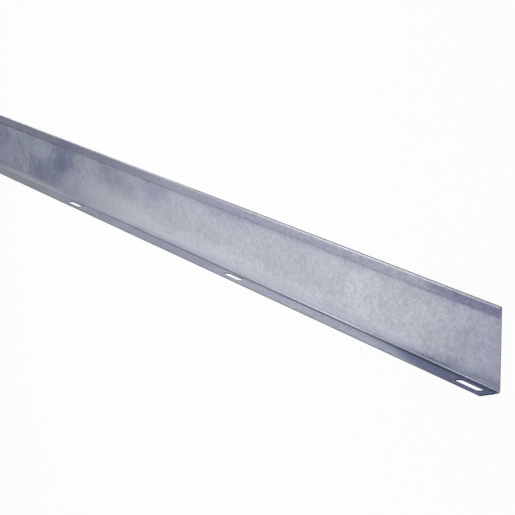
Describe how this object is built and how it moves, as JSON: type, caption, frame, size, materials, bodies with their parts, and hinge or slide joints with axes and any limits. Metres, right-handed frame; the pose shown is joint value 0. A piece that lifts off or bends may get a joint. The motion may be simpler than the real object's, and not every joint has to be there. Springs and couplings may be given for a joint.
{
  "type": "cable tray divider",
  "caption": "Long L-shaped divider strip of folded galvanised sheet, with a slotted foot to bolt down in a cable tray, a plain web and a hemmed top edge.",
  "frame": {"origin": "middle of the bottom face of the part's box, on the back of the web", "axes": "+X along the strip, +Y from the foot to the hem, +Z from the back of the web to the cut edge of the foot"},
  "size_m": [3, 0.075, 0.02],
  "materials": {
    "galvanised_sheet": "satin hot-dip galvanised sheet with a soft, fine grey mottle and slightly darker sheared edges"
  },
  "bodies": {
    "root": {"divider_strip": "galvanised_sheet"}
  },
  "joints": []
}
